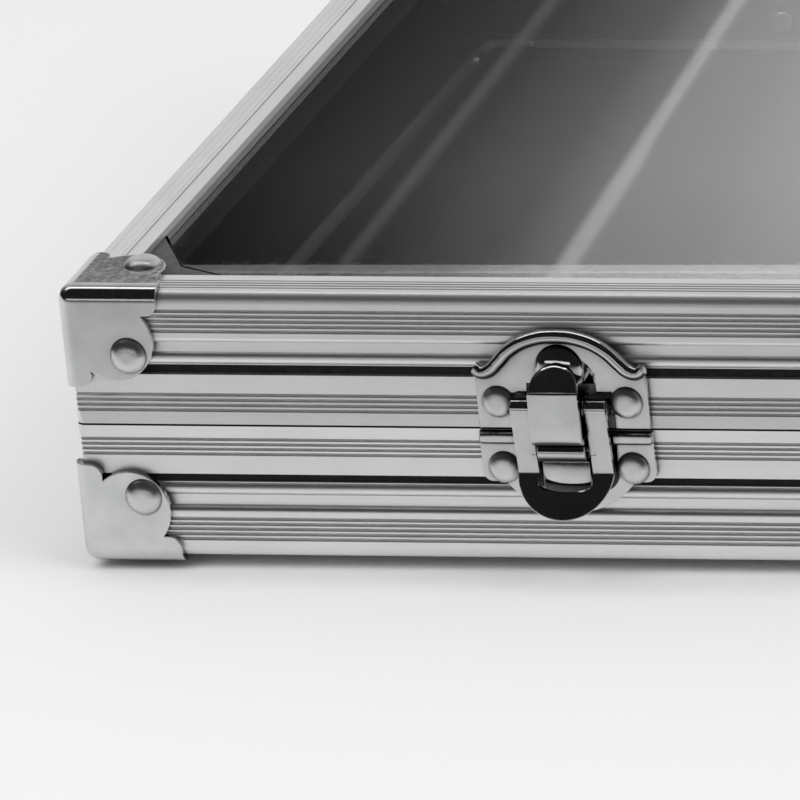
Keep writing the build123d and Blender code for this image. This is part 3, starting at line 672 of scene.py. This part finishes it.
# Brightness across the card from left to right, which the far row adds to the more, the further right
FAR_GAIN = 0.25
NEAR_ROOM = ((0.0, 0.1), (0.12, 0.1), (0.13, 0.0), (0.35, 0.05), (0.36, 0.2), (0.38, 0.05), (0.55, 0.2),
             (0.63, 0.4), (0.64, 1.0), (0.66, 1.0), (0.67, 0.6), (0.8, 0.7), (1.0, 1.0))
FAR_ROOM = tuple((place, level + FAR_GAIN * place) for place, level in NEAR_ROOM)

# Painted light on the card: a pale sill at the front that stands in for the lit ledge seen through the glass;
# its brightness from left to right, and its share from the near row back
PAINTED_SILL_LIGHT = ((0.0, 0.2), (0.35, 0.3), (0.5, 0.4), (0.65, 0.8), (1.0, 1.0))
PAINTED_SILL_BAND = ((0.0, 0.35), (0.1, 1.0), (0.175, 0.0))

# Lamps: name, place, target, size, power and whether shiny metal mirrors them
LAMPS = (("key", (-0.9, -1.3, 1.7), (0, 0, 0), (1.4, 1.4), 18, False),
         ("fill", (1.4, -0.6, 1.5), (0, 0, 0), (1.2, 1.2), 11, False),
         ("strip", (-1, 0.25, 3), (-1, 0, 0.05), (5, 0.5), 20, True),
         ("low_strip", (-1, -3, 0.28), (-1, 0, 0.05), (4, 0.3), 5, True))


def add_staged(name, shape, material):
    """Turn a shape into a piece of the studio."""
    mesh = bpy.data.meshes.new(name)
    shape.to_mesh(mesh)
    shape.free()
    mesh.materials.append(material)
    piece = bpy.data.objects.new(name, mesh)
    scene.collection.objects.link(piece)
    return piece


def floor_finish():
    """Pale paint that shiny metal sees darkening in front of the case."""
    material, tree, shader = new_material("floor")
    fill(tree, shader, {"Base Color": FLOOR_COLOUR, "Roughness": 0.9})
    nearness = ranged(tree, axes(tree, "Object")["Y"], 0, 1, FLOOR_FALL_FROM, FLOOR_FALL_TO)
    mirrored_only = add_node(tree, "LightPath").outputs["Is Glossy Ray"]
    share = arithmetic(tree, "MULTIPLY", ramped(tree, nearness, FLOOR_FALL), mirrored_only)
    dark = add_node(tree, "Emission")
    fill(tree, dark, {"Color": grey(ROOM_DARK)})
    show(tree, share, shader.outputs["BSDF"], dark.outputs["Emission"])
    return material


def add_floor():
    """Plain pale floor under the case."""
    shape = bmesh.new()
    bmesh.ops.create_grid(shape, x_segments=1, y_segments=1, size=FLOOR_SIZE / 2)
    add_staged("floor", shape, floor_finish())


def add_lamp(name, place, target, size, power, mirrored_too):
    """A soft box, pointed at a place."""
    data = bpy.data.lights.new(name, "AREA")
    data.shape = "RECTANGLE"
    data.size, data.size_y = size
    data.energy = power
    lamp = bpy.data.objects.new(name, data)
    scene.collection.objects.link(lamp)
    lamp.location = place
    lamp.rotation_euler = (Vector(target) - Vector(place)).to_track_quat("-Z", "Y").to_euler()
    lamp.visible_glossy = mirrored_too
    lamp.visible_camera = False


def add_world():
    """Pale room whose mirrored side is bright behind the case, and dark overhead, in front and far left."""
    world = bpy.data.worlds.new("room")
    scene.world = world
    world.use_nodes = True
    tree = world.node_tree
    toward = axes(tree, "Generated")
    behind = ranged(tree, toward["Y"], 0, 1, *BRIGHT_BEHIND, how="SMOOTHSTEP")
    off_far_left = ranged(tree, toward["X"], 0, 1, *BRIGHT_RIGHT, how="SMOOTHSTEP")
    bright = arithmetic(tree, "MULTIPLY", behind, off_far_left)
    shiny = mixed(tree, bright, grey(ROOM_DARK), ramped(tree, toward["Z"], ROOM_HEIGHT))
    rays = add_node(tree, "LightPath").outputs
    soft = mixed(tree, rays["Is Diffuse Ray"], grey(ROOM_SEEN), grey(ROOM_LIGHT))
    fill(tree, tree.nodes["Background"], {"Color": mixed(tree, rays["Is Glossy Ray"], soft, shiny)})


def sight(pixel):
    """Where a pixel's line of sight starts, and its direction."""
    camera = scene.camera
    turn = camera.matrix_world.to_3x3()
    across = (pixel[0] - PICTURE_WIDTH / 2) / PIXELS_PER_RADIAN
    up = (PICTURE_WIDTH / 2 - pixel[1]) / PIXELS_PER_RADIAN
    return camera.matrix_world.translation, turn @ Vector((across, up, -1))


def mirrored(pixel):
    """Where a pixel's line of sight meets the card after the glass turns it up."""
    start, line = sight(pixel)
    glass_place = start + line * ((GLASS_TOP - start.z) / line.z)
    turned = Vector((line.x, line.y, -line.z))
    return glass_place + turned * (CARD_HEIGHT / turned.z)


def card_shape():
    """The card's faces, with a chart that runs left to right and near to far."""
    shape = bmesh.new()
    chart = shape.loops.layers.uv.new("chart")
    grid = []
    for column, lean in CARD_COLUMNS:
        pixels = [(column + lean * row, NEAR_ROW + (FAR_ROW - NEAR_ROW) * row) for row in CARD_ROWS]
        grid.append([shape.verts.new(mirrored(pixel)) for pixel in pixels])
    for index in range(len(CARD_COLUMNS) - 1):
        for row in range(len(CARD_ROWS) - 1):
            places = ((index, row), (index + 1, row), (index + 1, row + 1), (index, row + 1))
            face = shape.faces.new([grid[step][rise] for step, rise in places])
            for loop, (step, rise) in zip(face.loops, places):
                loop[chart].uv = ((CARD_COLUMNS[step][0] - CHART_LEFT) / CHART_WIDTH, max(CARD_ROWS[rise], 0))
    return shape


def card_finish():
    """A painted reflection for the glass: a dim room, dark at the left, paler at the right, with panel
    joints, and a painted pale sill that stands in for the lit front ledge.
    """
    material, tree, shader = new_material("glass_card")
    tree.nodes.remove(shader)
    chart = add_node(tree, "UVMap", uv_map="chart")
    split = add_node(tree, "SeparateXYZ")
    feed(tree, split.inputs["Vector"], chart.outputs["UV"])
    across, depth = split.outputs["X"], split.outputs["Y"]
    near, far = ramped(tree, across, NEAR_ROOM), ramped(tree, across, FAR_ROOM)
    room = mixed(tree, ranged(tree, depth, 0, 1), near, far)
    # Painted light: the pale sill band along the card's near rows.
    band = ramped(tree, depth, PAINTED_SILL_BAND, "CONSTANT")
    glow = add_node(tree, "Emission")
    fill(tree, glow, {"Color": mixed(tree, band, room, ramped(tree, across, PAINTED_SILL_LIGHT)),
                      "Strength": arithmetic(tree, "ADD", band, 1)})
    feed(tree, tree.nodes["Material Output"].inputs["Surface"], glow.outputs["Emission"])
    return material


def add_glass_card():
    """The card above the case that the glass mirrors, unseen by the camera and by matt surfaces."""
    card = add_staged("glass_card", card_shape(), card_finish())
    card.visible_camera = False
    card.visible_diffuse = False
    card.visible_shadow = False


scene.view_settings.view_transform = "Standard"
add_camera()
add_floor()
add_world()
add_glass_card()
for lamp in LAMPS:
    add_lamp(*lamp)
